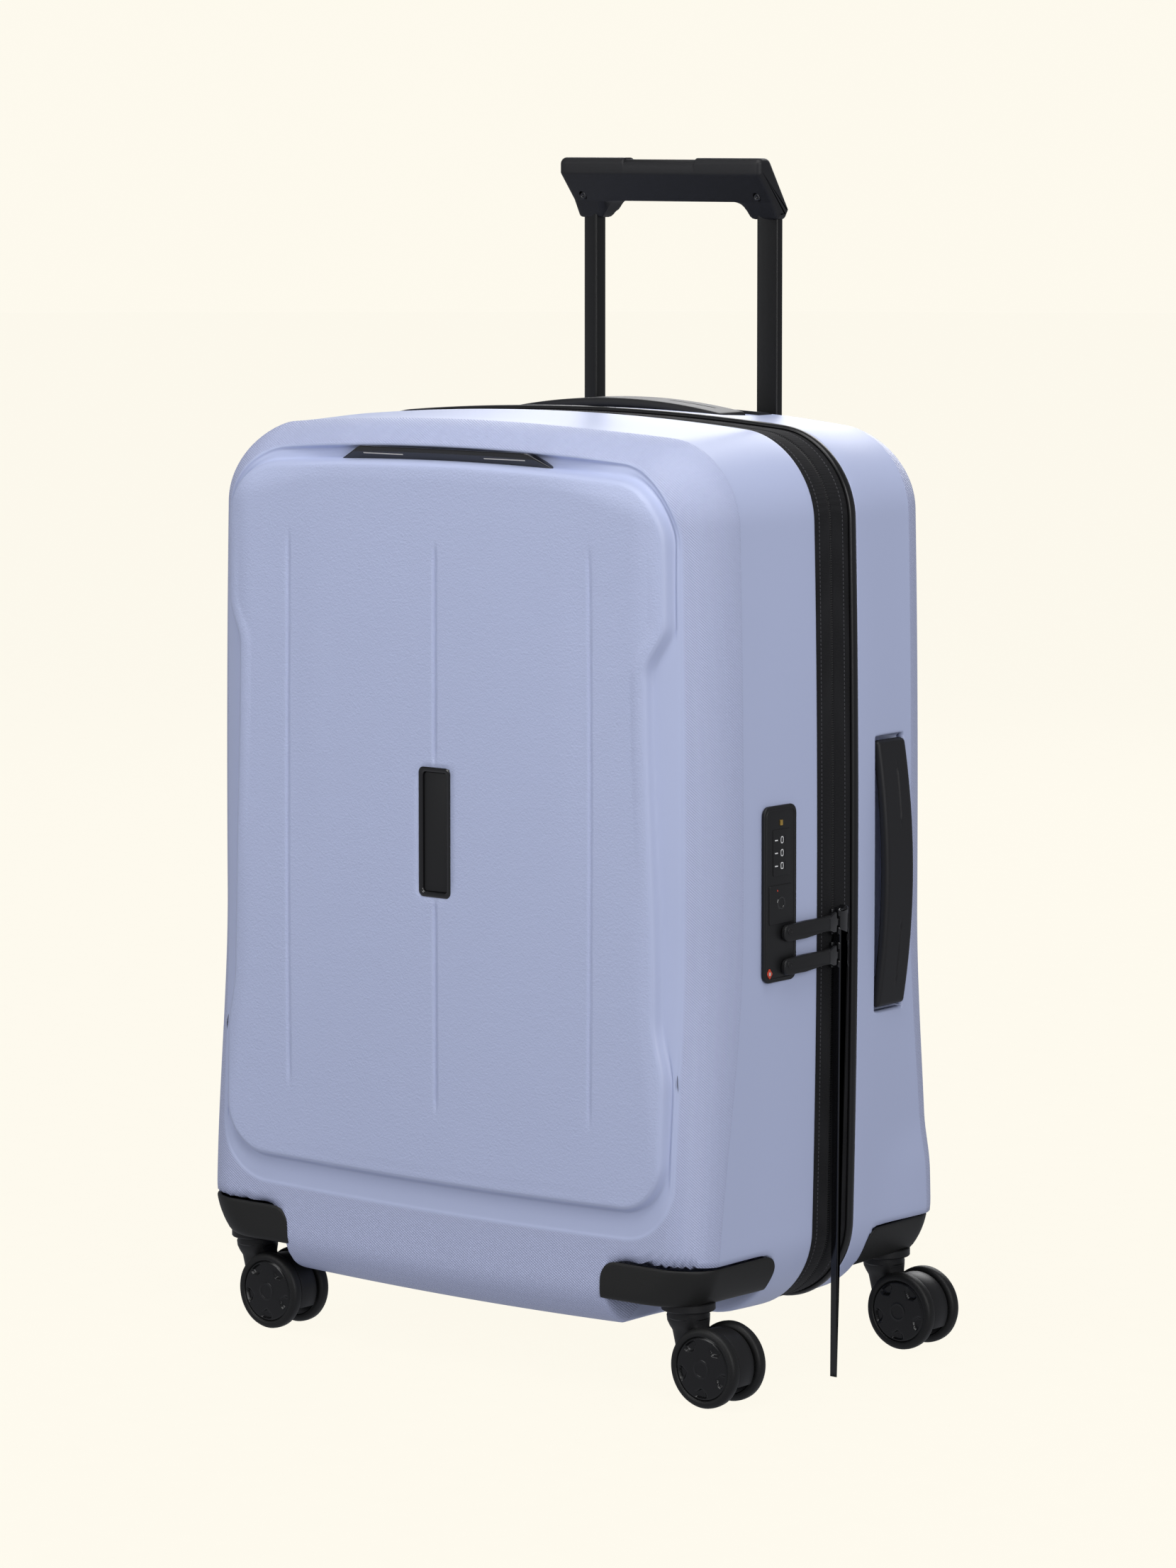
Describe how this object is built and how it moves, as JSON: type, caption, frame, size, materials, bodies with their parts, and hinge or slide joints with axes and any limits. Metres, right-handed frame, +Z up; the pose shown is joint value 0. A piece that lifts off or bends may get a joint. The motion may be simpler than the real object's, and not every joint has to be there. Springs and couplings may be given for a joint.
{
  "type": "four-wheel hard-shell suitcase",
  "caption": "Upright hard-shell suitcase with twin-wheel casters, a telescopic handle, a zip around two hinged halves and a side combination lock.",
  "frame": {"origin": "on the floor, under the middle of the case body", "axes": "+Z up, -Y out of the front of the case, +X towards the lock side"},
  "size_m": [0.5057, 0.3036, 0.875],
  "materials": {
    "badge_gloss": "piano black with thin silver lines",
    "black_plastic": "fine grain",
    "button_plastic": "satin push button",
    "cup_plastic": "lavender handle cup",
    "dial_plastic": "number dial",
    "fork_plastic": "semi-gloss moulded",
    "grip_plastic": "satin moulded grip",
    "guard_plastic": "satin moulded",
    "handle_rubber": "soft satin grip",
    "hinge_fabric": "woven hinge strip",
    "insert_gloss": "piano black bezel",
    "insert_matte": "fine textured pad",
    "key_metal": "key barrel",
    "lining_fabric": "plain woven lining",
    "lock_plastic": "satin lock plate",
    "mesh_fabric": "lining divider",
    "piping": "glossy black bead",
    "puller_plastic": "matt black puller",
    "release_plastic": "satin block",
    "screw_steel": "dark screws",
    "shell_plastic": "satin moulded lavender polypropylene",
    "slider_metal": "gloss black slider",
    "strap_webbing": "woven webbing",
    "tube_metal": "black anodised tube",
    "wheel_tyre": "polyurethane tread on a gloss hub",
    "zip_coil": "nylon coil",
    "zip_tape": "woven zip tape"
  },
  "bodies": {
    "rear_case": {"corner_guard_rear_left": "guard_plastic", "corner_guard_rear_right": "guard_plastic", "hinge_tape": "hinge_fabric", "packing_straps": "strap_webbing", "rear_lining": "lining_fabric", "rear_shell": "shell_plastic", "rim_piping": "piping", "side_handle_cup": "cup_plastic", "strap_buckle": "black_plastic", "top_handle_cup": "cup_plastic", "trolley_foot_bracket": "black_plastic", "trolley_housing": "black_plastic", "trolley_outer_tube_left": "tube_metal", "trolley_outer_tube_right": "tube_metal", "zip_coil_rear": "zip_coil", "zip_tape_rear": "zip_tape"},
    "front_case": {"centre_insert_frame": "insert_gloss", "centre_insert_pad": "insert_matte", "corner_guard_front_left": "guard_plastic", "corner_guard_front_right": "guard_plastic", "divider_panel": "mesh_fabric", "front_badge": "badge_gloss", "front_lining": "lining_fabric", "front_shell": "shell_plastic", "lock_plate": "lock_plastic", "zip_coil_front": "zip_coil", "zip_tape_front": "zip_tape"},
    "trolley": {"grip_screws": "screw_steel", "trolley_grip": "grip_plastic", "trolley_inner_tube_left": "tube_metal", "trolley_inner_tube_right": "tube_metal", "tube_screws": "screw_steel"},
    "trolley_button": {"trolley_button": "button_plastic"},
    "top_handle": {"top_handle": "handle_rubber"},
    "side_handle": {"side_handle": "handle_rubber"},
    "key_cylinder": {"key_cylinder": "key_metal"},
    "lock_dial_lower": {"lock_dial_lower": "dial_plastic"},
    "lock_dial_middle": {"lock_dial_middle": "dial_plastic"},
    "lock_dial_upper": {"lock_dial_upper": "dial_plastic"},
    "lock_release": {"lock_release": "release_plastic"},
    "caster_front_left": {"swivel_fork_front_left": "fork_plastic"},
    "caster_front_right": {"swivel_fork_front_right": "fork_plastic"},
    "caster_rear_left": {"swivel_fork_rear_left": "fork_plastic"},
    "caster_rear_right": {"swivel_fork_rear_right": "fork_plastic"},
    "wheel_front_left_a": {"wheel_front_left_a": "wheel_tyre"},
    "wheel_front_left_b": {"wheel_front_left_b": "wheel_tyre"},
    "wheel_front_right_a": {"wheel_front_right_a": "wheel_tyre"},
    "wheel_front_right_b": {"wheel_front_right_b": "wheel_tyre"},
    "wheel_rear_left_a": {"wheel_rear_left_a": "wheel_tyre"},
    "wheel_rear_left_b": {"wheel_rear_left_b": "wheel_tyre"},
    "wheel_rear_right_a": {"wheel_rear_right_a": "wheel_tyre"},
    "wheel_rear_right_b": {"wheel_rear_right_b": "wheel_tyre"},
    "zip_puller_lower": {"zip_puller_lower": "puller_plastic"},
    "zip_puller_upper": {"zip_puller_upper": "puller_plastic"},
    "zip_slider_lower": {"zip_slider_lower": "slider_metal"},
    "zip_slider_upper": {"zip_slider_upper": "slider_metal"}
  },
  "joints": [
    {"name": "case_opening", "type": "hinge", "parent": "rear_case", "child": "front_case", "pos_m": [-0.246, 0.005, 0.37], "axis": [0, 0, 1], "range_deg": [-180, 0], "deforming": ["hinge_tape"]},
    {"name": "trolley_slide", "type": "slide", "parent": "rear_case", "child": "trolley", "axis": [0, 0, 1], "range_m": [-0.183, 0.187]},
    {"name": "trolley_button_press", "type": "slide", "parent": "trolley", "child": "trolley_button", "axis": [0, 0, 1], "range_m": [-0.002, 0], "stiffness_N_per_m": 600, "springref_m": 0.002},
    {"name": "top_handle_lift", "type": "slide", "parent": "rear_case", "child": "top_handle", "axis": [0, 0, 1], "range_m": [0, 0.012], "stiffness_N_per_m": 150, "springref_m": -0.002},
    {"name": "side_handle_lift", "type": "slide", "parent": "rear_case", "child": "side_handle", "axis": [1, 0, 0], "range_m": [0, 0.012], "stiffness_N_per_m": 150, "springref_m": -0.002},
    {"name": "caster_swivel_front_left", "type": "hinge", "parent": "front_case", "child": "caster_front_left", "pos_m": [-0.2052, -0.1187, 0.072], "axis": [0, 0, 1], "continuous": true},
    {"name": "wheel_spin_front_left_a", "type": "hinge", "parent": "caster_front_left", "child": "wheel_front_left_a", "pos_m": [-0.1785, -0.1187, 0.0285], "axis": [0, 1, 0], "continuous": true},
    {"name": "wheel_spin_front_left_b", "type": "hinge", "parent": "caster_front_left", "child": "wheel_front_left_b", "pos_m": [-0.1785, -0.1187, 0.0285], "axis": [0, 1, 0], "continuous": true},
    {"name": "caster_swivel_front_right", "type": "hinge", "parent": "front_case", "child": "caster_front_right", "pos_m": [0.2052, -0.1187, 0.072], "axis": [0, 0, 1], "continuous": true},
    {"name": "wheel_spin_front_right_a", "type": "hinge", "parent": "caster_front_right", "child": "wheel_front_right_a", "pos_m": [0.2319, -0.1187, 0.0285], "axis": [0, 1, 0], "continuous": true},
    {"name": "wheel_spin_front_right_b", "type": "hinge", "parent": "caster_front_right", "child": "wheel_front_right_b", "pos_m": [0.2319, -0.1187, 0.0285], "axis": [0, 1, 0], "continuous": true},
    {"name": "caster_swivel_rear_left", "type": "hinge", "parent": "rear_case", "child": "caster_rear_left", "pos_m": [-0.2052, 0.1187, 0.072], "axis": [0, 0, 1], "continuous": true},
    {"name": "wheel_spin_rear_left_a", "type": "hinge", "parent": "caster_rear_left", "child": "wheel_rear_left_a", "pos_m": [-0.1785, 0.1187, 0.0285], "axis": [0, 1, 0], "continuous": true},
    {"name": "wheel_spin_rear_left_b", "type": "hinge", "parent": "caster_rear_left", "child": "wheel_rear_left_b", "pos_m": [-0.1785, 0.1187, 0.0285], "axis": [0, 1, 0], "continuous": true},
    {"name": "caster_swivel_rear_right", "type": "hinge", "parent": "rear_case", "child": "caster_rear_right", "pos_m": [0.2052, 0.1187, 0.072], "axis": [0, 0, 1], "continuous": true},
    {"name": "wheel_spin_rear_right_a", "type": "hinge", "parent": "caster_rear_right", "child": "wheel_rear_right_a", "pos_m": [0.2319, 0.1187, 0.0285], "axis": [0, 1, 0], "continuous": true},
    {"name": "wheel_spin_rear_right_b", "type": "hinge", "parent": "caster_rear_right", "child": "wheel_rear_right_b", "pos_m": [0.2319, 0.1187, 0.0285], "axis": [0, 1, 0], "continuous": true},
    {"name": "dial_turn_upper", "type": "hinge", "parent": "front_case", "child": "lock_dial_upper", "pos_m": [0.2347, -0.061, 0.396], "axis": [0, 0, 1], "continuous": true},
    {"name": "dial_turn_middle", "type": "hinge", "parent": "front_case", "child": "lock_dial_middle", "pos_m": [0.2347, -0.061, 0.3868], "axis": [0, 0, 1], "continuous": true},
    {"name": "dial_turn_lower", "type": "hinge", "parent": "front_case", "child": "lock_dial_lower", "pos_m": [0.2347, -0.061, 0.3776], "axis": [0, 0, 1], "continuous": true},
    {"name": "lock_release_slide", "type": "slide", "parent": "front_case", "child": "lock_release", "axis": [0, 0, 1], "range_m": [0, 0.005], "stiffness_N_per_m": 200, "springref_m": -0.001},
    {"name": "key_turn", "type": "hinge", "parent": "lock_release", "child": "key_cylinder", "pos_m": [0.24, -0.0615, 0.351], "axis": [1, 0, 0], "range_deg": [-90, 0]},
    {"name": "zip_slide_upper", "type": "slide", "parent": "rear_case", "child": "zip_slider_upper", "axis": [0, 0, 1], "range_m": [0, 0.25]},
    {"name": "puller_swing_upper", "type": "hinge", "parent": "zip_slider_upper", "child": "zip_puller_upper", "pos_m": [0.246, 0.008, 0.3305], "axis": [0, 0, 1], "range_deg": [0, 150]},
    {"name": "zip_slide_lower", "type": "slide", "parent": "rear_case", "child": "zip_slider_lower", "axis": [0, 0, 1], "range_m": [-0.19, 0]},
    {"name": "puller_swing_lower", "type": "hinge", "parent": "zip_slider_lower", "child": "zip_puller_lower", "pos_m": [0.246, 0.008, 0.3065], "axis": [0, 0, 1], "range_deg": [0, 150]}
  ]
}
